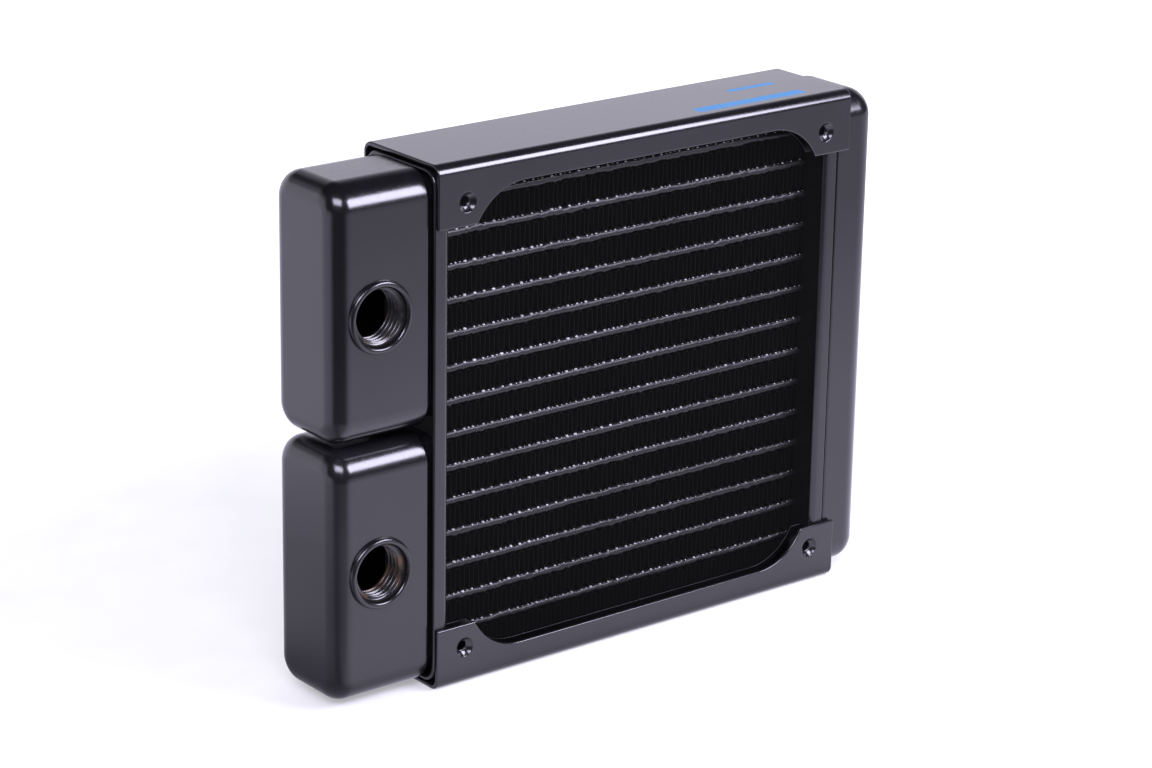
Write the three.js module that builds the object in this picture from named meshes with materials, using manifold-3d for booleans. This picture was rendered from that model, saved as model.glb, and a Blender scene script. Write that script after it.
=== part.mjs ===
// A 120 mm liquid-cooling radiator: flat tubes and corrugated fins soldered between two header
// plates, two port tanks at the left end, a return tank at the right end, and two folded covers
// whose ears carry the fan screws.
// Millimetres. +X runs from the port tanks to the return tank, +Y from front to back, +Z up.
// Every piece is drawn in the casing's frame: x = 0 and z = 0 at the centre of the fan hole
// pattern, y = 0 at mid depth. The last lines move the whole to its origin, at the bottom centre.
import * as THREE from "three";
import { mergeVertices } from "three/addons/utils/BufferGeometryUtils.js";
import Module from "manifold-3d";

const wasm = await Module();
wasm.setup();

// ---------------------------------------------------------------- driving dimensions

// Covers
const fanPitch = 105; // hole spacing of a 120 mm fan
const coverLength = 120.6;
const caseHeight = 123.3;
const caseDepth = 28.4;
const coverSheet = 1;
const coverBend = 2.5; // outside radius of the folds
const flangeHeight = 6.55; // outer face to the straight edge of the window
const earHeight = 14.65; // outer face to the free edge of the ears
const windowRadius = 14.7; // the curve between the straight edge and an ear
const windowArcX = 36.4; // its centre, to each side of the middle
const screwCoreRadius = 1.25; // M3 tapped hole
const dimpleRadius = 2.15; // mouth of the rolled-in hole
const dimpleDepth = 0.75;
const collarRadius = 1.75; // the rolled-in metal behind the flange
const collarDepth = 1.25; // from the flange's outer face

// Core guards, the inner channels
const guardSetback = 3.5; // flange of the guard behind the flange of the cover
const guardSheet = 0.8;
const guardBend = 1.6;

// Core
const coreSetback = 7.6; // tube noses behind the casing's front face
const tubeCount = 14;
const tubePitch = 7.9;
const tubeThickness = 1.8;
const tubeWall = 0.35;
const tubeStickOut = 0.45; // past the header plate, inside the tank
const finSetback = 0.4; // fin edges behind the tube noses
const finSheet = 0.25;
const finFoldStep = 2.65; // from a peak to the next valley
const solderGap = 0.15;

// Header plates: trays whose rims point away from the core
const headerSheet = 1;
const headerBend = 1.5;
const headerHalfHeight = 60.2;
const headerCorner = 4;
const leftPlateX = -56.3; // face towards the core
const leftRimX = -60.5;
const rightPlateX = 53.8;
const rightRimX = 57.5;
const fitGap = 0.3; // between pieces that nest

// Tanks
const tankHalfHeight = 60.2;
const tankCorner = 6.5; // seen along X
const neckWall = 0.8;
const portTankGap = 1.4; // between the two port tanks
const portTankForm = {
  halfDepth: 12.1,
  neckInset: 1.3, // the neck that sits in the header's rim
  shoulderX: -60.9,
  shoulderRadius: 1,
  endX: -86.4,
  endRadius: 4.6, // around the far end
};
const returnTankForm = {
  halfDepth: 12.8,
  neckInset: 1.3,
  shoulderX: 57.8,
  shoulderRadius: 0.7,
  endX: 70.5,
  endRadius: 5.6,
};

// Ports: G1/4 parallel thread
const portX = -74.4;
const portHeight = 29.8; // above and below the middle
const threadMajorRadius = 6.58;
const threadMinorRadius = 5.72;
const threadPitch = 1.337;
const threadTurns = 4;
const portSleeveRadius = 8.2;
const portCollarRadius = 8.8;
const portCollarHeight = 1; // in front of the tank's face
const portCollarRound = 0.5; // the collar's rounded outer edge, as two chamfers
const portCollarChamfer = 0.15;
const portMouthRadius = 7.75; // the recess around the start of the thread
const portMouthDepth = 1.4; // from the collar's face
const portSeatGap = 0.1;

// Facets: steps in a quarter turn of an arc, or in a full turn of a lathe. An extruded shape's arc
// gets twice as many steps as its curveSegments.
const windowSteps = 10;
const bendSteps = 4;
const noseSteps = 2;
const headerCornerSteps = 4;
const headerEdgeSteps = 2;
const tankCornerSteps = 6;
const screwHoleSteps = 10;
const bushingSteps = 20;
const sleeveHoleSteps = 28;

// ---------------------------------------------------------------- worked out from them

const halfDepth = caseDepth / 2;
const halfHeight = caseHeight / 2;
const windowTop = halfHeight - flangeHeight;
const earEdge = halfHeight - earHeight;
const coreHalfDepth = halfDepth - coreSetback;
const finHalfDepth = coreHalfDepth - finSetback;
const finHeight = tubePitch - tubeThickness - 2 * solderGap;
const headerHalfDepth = halfDepth - coverSheet - solderGap;
const guardWebTop = (tubeCount / 2) * tubePitch + finHeight / 2 + solderGap + guardSheet;
const tubeZ = (index) => (index - (tubeCount - 1) / 2) * tubePitch;

const satinBlack = { color: 0x1b1a1f, roughness: 0.35, metalness: 0.4 };
const guardBlack = { color: 0x121215, roughness: 0.45, metalness: 0.4 };
const tubeBlack = { color: 0x121215, roughness: 0.4, metalness: 0.4 };
const finBlack = { color: 0x121215, roughness: 0.5, metalness: 0.4 };
const brass = { color: 0x6b5a35, roughness: 0.4, metalness: 0.8 };

// ---------------------------------------------------------------- helpers

// Shapes drawn in (Y, Z) are extruded along +X from x, and shapes drawn in (X, Z) along -Y from y.
const X = new THREE.Vector3(1, 0, 0);
const Y = new THREE.Vector3(0, 1, 0);
const Z = new THREE.Vector3(0, 0, 1);
const alongX = (x) => new THREE.Matrix4().makeBasis(Y, Z, X).setPosition(x, 0, 0);
const alongMinusY = (y) =>
  new THREE.Matrix4().makeBasis(X, Z, Y.clone().negate()).setPosition(0, y, 0);

function solidOf(geometry, matrix = new THREE.Matrix4()) {
  const bare = geometry.clone().applyMatrix4(matrix);
  bare.deleteAttribute("normal");
  bare.deleteAttribute("uv");
  const merged = mergeVertices(bare, 1e-4);
  return new wasm.Manifold(
    new wasm.Mesh({
      numProp: 3,
      vertProperties: new Float32Array(merged.attributes.position.array),
      triVerts: new Uint32Array(merged.index.array),
    }),
  );
}

function geometryOf(solid) {
  const mesh = solid.getMesh();
  const geometry = new THREE.BufferGeometry();
  geometry.setAttribute("position", new THREE.BufferAttribute(mesh.vertProperties, 3));
  geometry.setIndex(new THREE.BufferAttribute(mesh.triVerts, 1));
  geometry.computeVertexNormals();
  return geometry;
}

function boxBetween(low, high) {
  const size = high.map((value, i) => value - low[i]);
  const middle = high.map((value, i) => (value + low[i]) / 2);
  return solidOf(
    new THREE.BoxGeometry(...size),
    new THREE.Matrix4().makeTranslation(...middle),
  );
}

function piece(name, geometry, finish) {
  const mesh = new THREE.Mesh(geometry, new THREE.MeshStandardMaterial(finish));
  mesh.name = name;
  return mesh;
}

// A rectangle with rounded corners, drawn counter-clockwise.
function roundedRectangle(left, right, bottom, top, radius) {
  const shape = new THREE.Shape();
  shape.absarc(right - radius, bottom + radius, radius, -Math.PI / 2, 0, false);
  shape.absarc(right - radius, top - radius, radius, 0, Math.PI / 2, false);
  shape.absarc(left + radius, top - radius, radius, Math.PI / 2, Math.PI, false);
  shape.absarc(left + radius, bottom + radius, radius, Math.PI, 1.5 * Math.PI, false);
  return shape;
}

// A prism from x = start to x = end whose ends are rounded over by the given radius.
function roundedPrism(shape, start, end, radius, cornerSteps, endSteps) {
  const geometry = new THREE.ExtrudeGeometry(shape, {
    depth: end - start - 2 * radius,
    curveSegments: cornerSteps,
    bevelEnabled: radius > 0,
    bevelThickness: radius,
    bevelSize: radius,
    bevelOffset: -radius,
    bevelSegments: endSteps,
  });
  return solidOf(geometry, alongX(start + radius));
}

// ---------------------------------------------------------------- covers and core guards

// Section of a channel that is open downwards, in (Y, Z).
function channelSection(halfWidth, top, edge, sheet, bend) {
  const inside = bend - sheet;
  const centreY = halfWidth - bend;
  const centreZ = top - bend;
  const shape = new THREE.Shape();
  shape.moveTo(-halfWidth, edge);
  shape.lineTo(-halfWidth, centreZ);
  shape.absarc(-centreY, centreZ, bend, Math.PI, Math.PI / 2, true);
  shape.absarc(centreY, centreZ, bend, Math.PI / 2, 0, true);
  shape.lineTo(halfWidth, edge);
  shape.lineTo(halfWidth - sheet, edge);
  shape.absarc(centreY, centreZ, inside, 0, Math.PI / 2, false);
  shape.absarc(-centreY, centreZ, inside, Math.PI / 2, Math.PI, false);
  shape.lineTo(-halfWidth + sheet, edge);
  return shape;
}

// The fan window's upper part, in (X, Z): a straight edge with a round corner down to each ear.
function windowCutter() {
  const centreZ = windowTop - windowRadius;
  const earAngle = Math.asin((earEdge - centreZ) / windowRadius);
  const reach = windowArcX + windowRadius * Math.cos(earAngle);
  const below = earEdge - coverSheet;
  const shape = new THREE.Shape();
  shape.moveTo(reach, below);
  shape.lineTo(reach, earEdge);
  shape.absarc(windowArcX, centreZ, windowRadius, earAngle, Math.PI / 2, false);
  shape.absarc(-windowArcX, centreZ, windowRadius, Math.PI / 2, Math.PI - earAngle, false);
  shape.lineTo(-reach, below);
  const geometry = new THREE.ExtrudeGeometry(shape, {
    depth: 2 * caseDepth,
    curveSegments: windowSteps / 2,
    bevelEnabled: false,
  });
  return solidOf(geometry, alongMinusY(caseDepth));
}

function channel(start, end, halfWidth, top, edge, sheet, bend) {
  const geometry = new THREE.ExtrudeGeometry(
    channelSection(halfWidth, top, edge, sheet, bend),
    { depth: end - start, curveSegments: bendSteps / 2, bevelEnabled: false },
  );
  return solidOf(geometry, alongX(start)).subtract(windowCutter());
}

// A solid of revolution about Y from (radius, depth) points, with depth measured inwards from the
// casing's front or back face.
function turnedOnFace(points, x, z, isFront, steps) {
  const profile = points.map(([radius, depth]) => new THREE.Vector2(radius, depth));
  const matrix = new THREE.Matrix4().makeRotationZ(isFront ? 0 : Math.PI);
  matrix.setPosition(x, isFront ? -halfDepth : halfDepth, z);
  return solidOf(new THREE.LatheGeometry(profile, steps), matrix);
}

// The rolled-in screw hole's mouth is a quarter of an ellipse.
function screwHoleProfile() {
  const cutterMargin = 0.5;
  const mouthSteps = 3;
  const points = [
    [0, -cutterMargin],
    [dimpleRadius, -cutterMargin],
  ];
  for (let i = 0; i <= mouthSteps; i += 1) {
    const turn = (i / mouthSteps) * (Math.PI / 2);
    points.push([
      dimpleRadius - (dimpleRadius - screwCoreRadius) * Math.sin(turn),
      dimpleDepth * (1 - Math.cos(turn)),
    ]);
  }
  points.push([screwCoreRadius, collarDepth + cutterMargin], [0, collarDepth + cutterMargin]);
  return points;
}

function cover() {
  let body = channel(
    -coverLength / 2,
    coverLength / 2,
    halfDepth,
    halfHeight,
    earEdge,
    coverSheet,
    coverBend,
  );
  const collar = [
    [0, coverSheet / 2],
    [collarRadius, coverSheet / 2],
    [collarRadius, collarDepth],
    [0, collarDepth],
  ];
  for (const x of [-fanPitch / 2, fanPitch / 2]) {
    for (const isFront of [true, false]) {
      body = body
        .add(turnedOnFace(collar, x, fanPitch / 2, isFront, screwHoleSteps))
        .subtract(turnedOnFace(screwHoleProfile(), x, fanPitch / 2, isFront, screwHoleSteps));
    }
  }
  return geometryOf(body);
}

function coreGuard() {
  return geometryOf(
    channel(
      leftPlateX + fitGap,
      rightPlateX - fitGap,
      halfDepth - guardSetback,
      guardWebTop,
      earEdge + fitGap,
      guardSheet,
      guardBend,
    ),
  );
}

// ---------------------------------------------------------------- core

// Section of a flat tube or of its slot, in (Y, Z): straight sides and round noses.
function flatOval(halfLength, halfThickness, z) {
  const centreY = halfLength - halfThickness;
  const shape = new THREE.Shape();
  shape.absarc(centreY, z, halfThickness, -Math.PI / 2, Math.PI / 2, false);
  shape.absarc(-centreY, z, halfThickness, Math.PI / 2, 1.5 * Math.PI, false);
  return shape;
}

function tube() {
  const section = flatOval(coreHalfDepth, tubeThickness / 2, 0);
  section.holes.push(flatOval(coreHalfDepth - tubeWall, tubeThickness / 2 - tubeWall, 0));
  const start = leftPlateX - headerSheet - tubeStickOut;
  const end = rightPlateX + headerSheet + tubeStickOut;
  const geometry = new THREE.ExtrudeGeometry(section, {
    depth: end - start,
    curveSegments: noseSteps,
    bevelEnabled: false,
  });
  return geometryOf(solidOf(geometry, alongX(start)));
}

// A corrugated strip between two tubes, drawn in (X, Z) as one zigzag band of even thickness. Its
// folds are twice as coarse as the real strip's.
function finStrip() {
  const start = leftPlateX + fitGap;
  const end = rightPlateX - fitGap;
  const folds = Math.floor((end - start) / (2 * finFoldStep)) * 2;
  const step = (end - start) / folds;
  const reach = finHeight / 2;
  const slope = Math.atan2(finHeight - finSheet, step);
  const overlap = finSheet / Math.cos(slope);
  const lower = [];
  const upper = [];
  for (let i = 0; i <= folds; i += 1) {
    const x = start + i * step;
    const isPeak = i % 2 === 1;
    upper.push([x, isPeak ? reach : -reach + overlap]);
    lower.push([x, isPeak ? reach - overlap : -reach]);
  }
  const shape = new THREE.Shape();
  [...lower, ...upper.reverse()].forEach(([x, z], i) =>
    i === 0 ? shape.moveTo(x, z) : shape.lineTo(x, z),
  );
  const geometry = new THREE.ExtrudeGeometry(shape, {
    depth: 2 * finHalfDepth,
    bevelEnabled: false,
  });
  return geometryOf(solidOf(geometry, alongMinusY(finHalfDepth)));
}

// ---------------------------------------------------------------- header plates

// A tray with its plate's outer face at plateX and its rim's edge at rimX.
function headerPlate(plateX, rimX) {
  const away = Math.sign(rimX - plateX);
  const outline = (inset) =>
    roundedRectangle(
      -headerHalfDepth + inset,
      headerHalfDepth - inset,
      -headerHalfHeight + inset,
      headerHalfHeight - inset,
      headerCorner - inset,
    );
  const between = (shape, from, to, radius) =>
    roundedPrism(
      shape,
      Math.min(from, to),
      Math.max(from, to),
      radius,
      headerCornerSteps / 2,
      headerEdgeSteps,
    );
  const pastRim = rimX + away * 2 * headerBend;
  const floorX = plateX + away * headerSheet;
  const farSide = [Math.min(rimX, pastRim), Math.max(rimX, pastRim)];
  let body = between(outline(0), plateX, pastRim, headerBend)
    .subtract(between(outline(headerSheet), floorX, pastRim + away, 0))
    .subtract(
      boxBetween([farSide[0], -caseDepth, -caseHeight], [farSide[1], caseDepth, caseHeight]),
    );
  for (let i = 0; i < tubeCount; i += 1) {
    const slot = flatOval(coreHalfDepth + solderGap, tubeThickness / 2 + solderGap, tubeZ(i));
    body = body.subtract(between(slot, plateX - away, floorX + away, 0));
  }
  return geometryOf(body);
}

// ---------------------------------------------------------------- tanks

// A drawn tank: its neck starts inside the header's rim at neckX, its body at shoulderX, and its
// closed end is at endX. The walls of the neck carry on through the body.
function tankBody(form, neckX, low, high) {
  const { halfDepth: tankHalfDepth, neckInset, shoulderX, shoulderRadius, endX, endRadius } = form;
  const away = Math.sign(endX - neckX);
  const outline = (inset) =>
    roundedRectangle(
      -tankHalfDepth + inset,
      tankHalfDepth - inset,
      low + inset,
      high - inset,
      tankCorner - inset,
    );
  const between = (shape, from, to, radius, steps) =>
    roundedPrism(
      shape,
      Math.min(from, to),
      Math.max(from, to),
      radius,
      tankCornerSteps / 2,
      steps,
    );
  const cavityInset = neckInset + neckWall;
  const endSteps = 3;
  const shoulderSteps = 2;
  const cavitySteps = 1;
  const roundEnd = between(outline(0), neckX, endX, endRadius, endSteps);
  const roundShoulder = between(
    outline(0),
    shoulderX,
    endX + away * 2 * shoulderRadius,
    shoulderRadius,
    shoulderSteps,
  );
  const neck = between(outline(neckInset), neckX, (shoulderX + endX) / 2, 0, 0);
  const cavityEnd = endX - away * cavityInset;
  const cavityRadius = endRadius - cavityInset;
  const cavity = between(
    outline(cavityInset),
    neckX - away * 2 * cavityRadius,
    cavityEnd,
    cavityRadius,
    cavitySteps,
  );
  return roundEnd.intersect(roundShoulder).add(neck).subtract(cavity);
}

function portTank(low, high, portZ) {
  const neckX = leftPlateX - headerSheet - fitGap;
  const cutterFront = -halfDepth / 2;
  const cutterBack = halfDepth / 2;
  const sleeveHole = [
    [0, cutterFront],
    [portSleeveRadius + fitGap, cutterFront],
    [portSleeveRadius + fitGap, cutterBack],
    [0, cutterBack],
  ];
  return geometryOf(
    tankBody(portTankForm, neckX, low, high).subtract(
      turnedOnFace(sleeveHole, portX, portZ, true, sleeveHoleSteps),
    ),
  );
}

function returnTank() {
  const neckX = rightPlateX + headerSheet + fitGap;
  return geometryOf(tankBody(returnTankForm, neckX, -tankHalfHeight, tankHalfHeight));
}

// A threaded insert about its own Y axis, with y = 0 on the tank's face: a rounded collar outside,
// a sleeve inside, and the thread as rings of the true pitch and depth.
function portBushing() {
  const collarFront = -portCollarHeight;
  const threadStart = collarFront + portMouthDepth;
  const sleeveEnd = threadStart + (threadTurns + 1 / 2) * threadPitch;
  const profile = [
    [portSleeveRadius, sleeveEnd],
    [portSleeveRadius, -portSeatGap],
    [portCollarRadius, -portSeatGap],
    [portCollarRadius, collarFront + portCollarRound],
    [portCollarRadius - portCollarChamfer, collarFront + portCollarChamfer],
    [portCollarRadius - portCollarRound, collarFront],
    [portMouthRadius, collarFront],
    [portMouthRadius, threadStart],
    [threadMajorRadius, threadStart],
    [threadMinorRadius, threadStart + threadPitch / 4],
  ];
  for (let turn = 0; turn < threadTurns; turn += 1) {
    const root = threadStart + (turn + 3 / 4) * threadPitch;
    profile.push([threadMajorRadius, root]);
    profile.push([threadMinorRadius, root + threadPitch / 2]);
  }
  profile.push([threadMinorRadius, sleeveEnd], [portSleeveRadius, sleeveEnd]);
  const points = profile.map(([radius, depth]) => new THREE.Vector2(radius, depth));
  return geometryOf(solidOf(new THREE.LatheGeometry(points.reverse(), bushingSteps)));
}

// ---------------------------------------------------------------- assembly

const radiator = new THREE.Group();
radiator.position.set(-(portTankForm.endX + returnTankForm.endX) / 2, 0, halfHeight);

const casing = new THREE.Group();
const topCover = piece("top_cover", cover(), satinBlack);
const bottomCover = piece("bottom_cover", cover(), satinBlack);
bottomCover.rotation.x = Math.PI;
const topGuard = piece("top_core_guard", coreGuard(), guardBlack);
const bottomGuard = piece("bottom_core_guard", coreGuard(), guardBlack);
bottomGuard.rotation.x = Math.PI;
casing.add(topCover, bottomCover, topGuard, bottomGuard);

const core = new THREE.Group();
core.add(
  piece("left_header_plate", headerPlate(leftPlateX, leftRimX), satinBlack),
  piece("right_header_plate", headerPlate(rightPlateX, rightRimX), satinBlack),
);
const numbered = (name, index) => `${name}_${String(index + 1).padStart(2, "0")}`;
for (let i = 0; i < tubeCount; i += 1) {
  const flatTube = piece(numbered("tube", i), tube(), tubeBlack);
  flatTube.position.z = tubeZ(i);
  core.add(flatTube);
}
for (let i = 0; i <= tubeCount; i += 1) {
  const fin = piece(numbered("fin_row", i), finStrip(), finBlack);
  fin.position.z = tubeZ(i) - tubePitch / 2;
  core.add(fin);
}

const tanks = new THREE.Group();
const tankMiddle = portTankGap / 2;
tanks.add(
  piece("upper_port_tank", portTank(tankMiddle, tankHalfHeight, portHeight), satinBlack),
  piece("lower_port_tank", portTank(-tankHalfHeight, -tankMiddle, -portHeight), satinBlack),
  piece("return_tank", returnTank(), satinBlack),
);
for (const [name, side] of [
  ["upper_port_bushing", 1],
  ["lower_port_bushing", -1],
]) {
  const bushing = piece(name, portBushing(), brass);
  bushing.position.set(portX, -portTankForm.halfDepth, side * portHeight);
  tanks.add(bushing);
}

radiator.add(casing, core, tanks);
export default radiator;
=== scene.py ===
import math
import random

import bmesh
import bpy
from mathutils import Matrix, Vector
from mathutils.geometry import tessellate_polygon
from mathutils.noise import noise


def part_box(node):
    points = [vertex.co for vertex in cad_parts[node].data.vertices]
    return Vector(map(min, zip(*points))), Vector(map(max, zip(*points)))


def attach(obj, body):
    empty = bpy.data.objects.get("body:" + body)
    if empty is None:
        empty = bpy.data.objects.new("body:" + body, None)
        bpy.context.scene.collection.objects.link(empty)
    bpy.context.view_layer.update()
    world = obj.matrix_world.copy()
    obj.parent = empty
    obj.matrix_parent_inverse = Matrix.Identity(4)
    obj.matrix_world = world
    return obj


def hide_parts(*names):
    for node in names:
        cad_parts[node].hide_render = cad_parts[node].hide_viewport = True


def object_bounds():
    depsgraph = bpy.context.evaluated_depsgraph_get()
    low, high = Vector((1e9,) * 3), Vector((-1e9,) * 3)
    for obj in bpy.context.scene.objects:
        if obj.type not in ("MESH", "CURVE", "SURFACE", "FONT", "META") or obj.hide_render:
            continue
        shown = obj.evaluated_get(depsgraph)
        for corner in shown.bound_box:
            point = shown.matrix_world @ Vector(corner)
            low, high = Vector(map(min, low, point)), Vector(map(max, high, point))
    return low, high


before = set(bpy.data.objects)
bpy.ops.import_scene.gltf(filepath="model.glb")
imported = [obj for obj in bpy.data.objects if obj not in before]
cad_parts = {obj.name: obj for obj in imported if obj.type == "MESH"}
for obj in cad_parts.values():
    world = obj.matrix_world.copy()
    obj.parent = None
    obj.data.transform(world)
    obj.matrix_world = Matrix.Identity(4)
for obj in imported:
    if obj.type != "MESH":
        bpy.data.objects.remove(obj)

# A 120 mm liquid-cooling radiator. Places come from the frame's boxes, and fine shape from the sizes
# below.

CAD_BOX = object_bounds()
MM = 0.001
SAME_POINT = 1e-7      # points closer than this, in metres, are joined
SHARP_ANGLE = 40.0     # edges sharper than this, in degrees, are not smoothed
FULL_ROUND = 0.999     # a rounded end keeps this much of its radius, so that its sides don't vanish

# ------------------------------------------------------------------ sizes, in millimetres

EDGE_ROUND = 0.36      # the painted edges of the covers are round
GUARD_EDGE_ROUND = 0.18
RIM_ROUND = 0.45       # the free edge of a header plate's rim

COVER_SHEET = 1.0
COVER_BEND = 2.5
GUARD_SHEET = 0.8
GUARD_BEND = 1.6
WINDOW_EDGE = 6.55     # the casing's outer face to the straight edge of the window
WINDOW_RADIUS = 14.7
WINDOW_ARC_X = 36.4
EAR_CORNER = 0.5

FAN_PITCH = 105.0
SCREW_MAJOR = 1.5      # M3
SCREW_MINOR = 1.25
SCREW_PITCH = 0.5
MOUTH_RADIUS = 2.5     # a rolled-in screw hole: its mouth, thread and collar
MOUTH_ROUND = 0.3
MOUTH_DEPTH = 0.95
MOUTH_LEAD = 0.1       # the mouth ends this much wider than the thread
COLLAR_RADIUS = 1.75
COLLAR_DEPTH = 1.6
COLLAR_ROUND = 0.18

# The bars on the top cover: two opposite corners as (x, y), and the corner radius.
PRINTED_BARS = (((17.0, -10.0), (50.0, -6.6), 1.2), ((35.0, 0.6), (49.5, 2.6), 0.8))

HEADER_SHEET = 1.0
HEADER_BEND = 1.5
HEADER_INNER_BEND = 0.5
HEADER_CORNER = 4.0
SLOT_GAP = 0.05        # around a tube

TANK_CORNER = 6.5
TANK_WALL = 0.8
# The neck's length and how far it is drawn in, and the radius of the shoulder and of the end's edges.
PORT_TANK = {"neck": 3.3, "inset": 1.3, "shoulder": 1.0, "end": 4.6}
RETURN_TANK = {"neck": 2.7, "inset": 1.3, "shoulder": 0.7, "end": 5.6}

THREAD_MAJOR = 6.58    # G1/4; depths are measured from the tank's face
THREAD_MINOR = 5.72
THREAD_PITCH = 1.337
THREAD_END = 5.1
RELIEF_RADIUS = THREAD_MAJOR - 0.2     # the plain bore behind the thread
RELIEF_RUN = 0.3       # the thread runs out into it over this depth
SLEEVE_RADIUS = 7.2    # outside, behind the lip
SLEEVE_CHAMFER = 0.15
SLEEVE_LOOP = 0.6      # one more ring of points on the sleeve, close behind its lip
SLEEVE_GAP = 0.1       # to the hole in the tank
LIP_RADIUS = 7.55      # the port's lip is a round bead: the radius of its middle, and its own
LIP_ROUND = 0.75
LIP_HEIGHT = 1.08
LIP_FOOT = 8.42        # the bead's foot is sunk into the tank's wall
FOOT_DEPTH = 0.16
# The step from the lip down to the thread, as (radius, depth).
RECESS_STEPS = ((6.83, -0.1), (THREAD_MAJOR + 0.15, 0.15), (THREAD_MAJOR, 0.3))

TUBE_WALL = 0.3
# Smooth unevenness along a tube, as (height, waves per millimetre, seed): of its line, and its thickness.
TUBE_WAVES = ((0.09, 0.16, 0.0), (0.2, 0.75, 5.0))
TUBE_SWELLS = ((0.05, 0.45, 9.0), (0.22, 1.1, 3.0))

BEAD_RADIUS = 0.44     # drops of solder and paint where the folds meet a tube's nose
FOLD_BEADS = (0.45, 0.8)               # their range of sizes at the folds, in bead radii
STRAY_BEADS = (0.2, 0.4)               # and of the ones between, which are there half of the time
STRAY_CHANCE = 0.5
BEADS_LEFT, BEADS_RIGHT = 1.2, 0.65    # they grow smaller from left to right
BEAD_DRIFT = 0.12      # off the fold, along the tube
BEAD_DEPTHS = (0.15, 0.35)             # of their middles behind the nose
BEAD_DROP = 0.08       # of their middles below the tube's upper face
BEAD_LENGTHS = (1.0, 1.5)              # in bead radii
BEAD_THICKNESS = 0.8

FIN_SHEET = 0.16
FOLD_PITCH = 2.65      # one full wave of a fin strip
FOLD_DRIFT = 0.35      # the folds' places drift slowly, at this rate from fold to fold
DRIFT_RATE = 0.13
FOLD_JITTER = 0.09     # and each is a little off
FOLD_LIFT = 0.12       # the most that a fold stays off its tube
LEG_GAP = 0.02         # a fold's radius is this much less than half the way to the next fold
LEG_SWAY = 0.06        # how far the legs are bent, and how fast that changes along X and Y
SWAY_RATE_X, SWAY_RATE_Y = 0.9, 0.4
END_FOLD = 0.4         # the folds at a strip's ends take the next one to be this far past the end
END_DROP = 1.0         # a strip starts and ends this far below its top
FIN_FRONT = 2.0        # legs change their bend this far behind the front and before the back

# ------------------------------------------------------------------ places, from the frame


def size_mm(node):
    """The CAD node's lowest and highest corners, in millimetres in the casing's frame."""
    low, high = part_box(node)
    return (low - CENTRE) / MM, (high - CENTRE) / MM


cover_low, cover_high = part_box("top_cover")
CENTRE = Vector((
    (cover_low.x + cover_high.x) / 2,
    (cover_low.y + cover_high.y) / 2,
    (CAD_BOX[0].z + CAD_BOX[1].z) / 2,
))
COVER_LOW, COVER_HIGH = size_mm("top_cover")
HALF_DEPTH = COVER_HIGH.y
TUBES = sorted(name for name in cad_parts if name.startswith("tube_"))
FINS = sorted(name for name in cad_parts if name.startswith("fin_row_"))

# ------------------------------------------------------------------ building meshes

# Which of its piece's materials a face has. What 1 and 2 stand for differs between pieces.
PAINT = 0
METAL = 1              # a cut thread
SHADED = 1             # painted shade: the insides of a header plate, darker because they lie in shade
DROP = 1               # a drop on a tube
PRINT = 2              # the bars on the top cover
SHADED_RECESS = 2             # painted shade: the step around a port's thread, darker because it lies in shade


class Piece:
    """One visible piece: its points, in millimetres in the casing's frame, and its faces."""

    def __init__(self):
        self.points = []
        self.faces = []
        self.kinds = []    # which of the piece's materials each face has

    def ring(self, points):
        """Adds the points, and gives their indices."""
        start = len(self.points)
        self.points.extend(points)
        return list(range(start, len(self.points)))

    def face(self, indices, kind=PAINT):
        self.faces.append(tuple(indices))
        self.kinds.append(kind)

    def bridge(self, a, b, kind=PAINT, closed=True, skip=None):
        """Quads between two rings of the same length, apart from the one that starts at skip."""
        count = len(a)
        for i in range(count if closed else count - 1):
            if i != skip:
                j = (i + 1) % count
                self.face((a[i], a[j], b[j], b[i]), kind)

    def chain(self, rings, kind=PAINT, closed=True):
        """Quads between each ring and the next."""
        for a, b in zip(rings, rings[1:]):
            self.bridge(a, b, kind, closed)

    def cap(self, loops, kind=PAINT):
        """A flat face inside the first loop, with the other loops as holes."""
        flat = [index for loop in loops for index in loop]
        polygons = [[Vector(self.points[index]) for index in loop] for loop in loops]
        for triangle in tessellate_polygon(polygons):
            self.face([flat[i] for i in triangle], kind)

    def finish(self, name, node, slot, materials):
        """Makes the object, which stands for the CAD node."""
        mesh = bpy.data.meshes.new(name)
        mesh.from_pydata([Vector(p) * MM + CENTRE for p in self.points], [], self.faces)
        for material in materials:
            mesh.materials.append(material)
        mesh.polygons.foreach_set("material_index", self.kinds)
        shape = bmesh.new()
        shape.from_mesh(mesh)
        bmesh.ops.remove_doubles(shape, verts=shape.verts, dist=SAME_POINT)
        bmesh.ops.recalc_face_normals(shape, faces=shape.faces)
        shape.to_mesh(mesh)
        shape.free()
        mesh.shade_smooth()
        mesh.set_sharp_from_angle(angle=math.radians(SHARP_ANGLE))
        piece = bpy.data.objects.new(name, mesh)
        bpy.context.scene.collection.objects.link(piece)
        weighted = piece.modifiers.new("weighted_normals", "WEIGHTED_NORMAL")
        weighted.keep_sharp = True
        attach(piece, "root")
        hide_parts(node)
        return piece


def arc(centre, radius, start, end, steps):
    """Points round an arc in a plane, with its angles in degrees."""
    turns = [math.radians(start + (end - start) * i / steps) for i in range(steps + 1)]
    return [(centre[0] + radius * math.cos(t), centre[1] + radius * math.sin(t)) for t in turns]


def rounded_rectangle(low, high, radius, steps):
    """Counter-clockwise points of a rectangle with round corners."""
    left, right = low[0] + radius, high[0] - radius
    bottom, top = low[1] + radius, high[1] - radius
    corners = [((right, bottom), -90), ((right, top), 0), ((left, top), 90), ((left, bottom), 180)]
    return [p for centre, start in corners for p in arc(centre, radius, start, start + 90, steps)]


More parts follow.
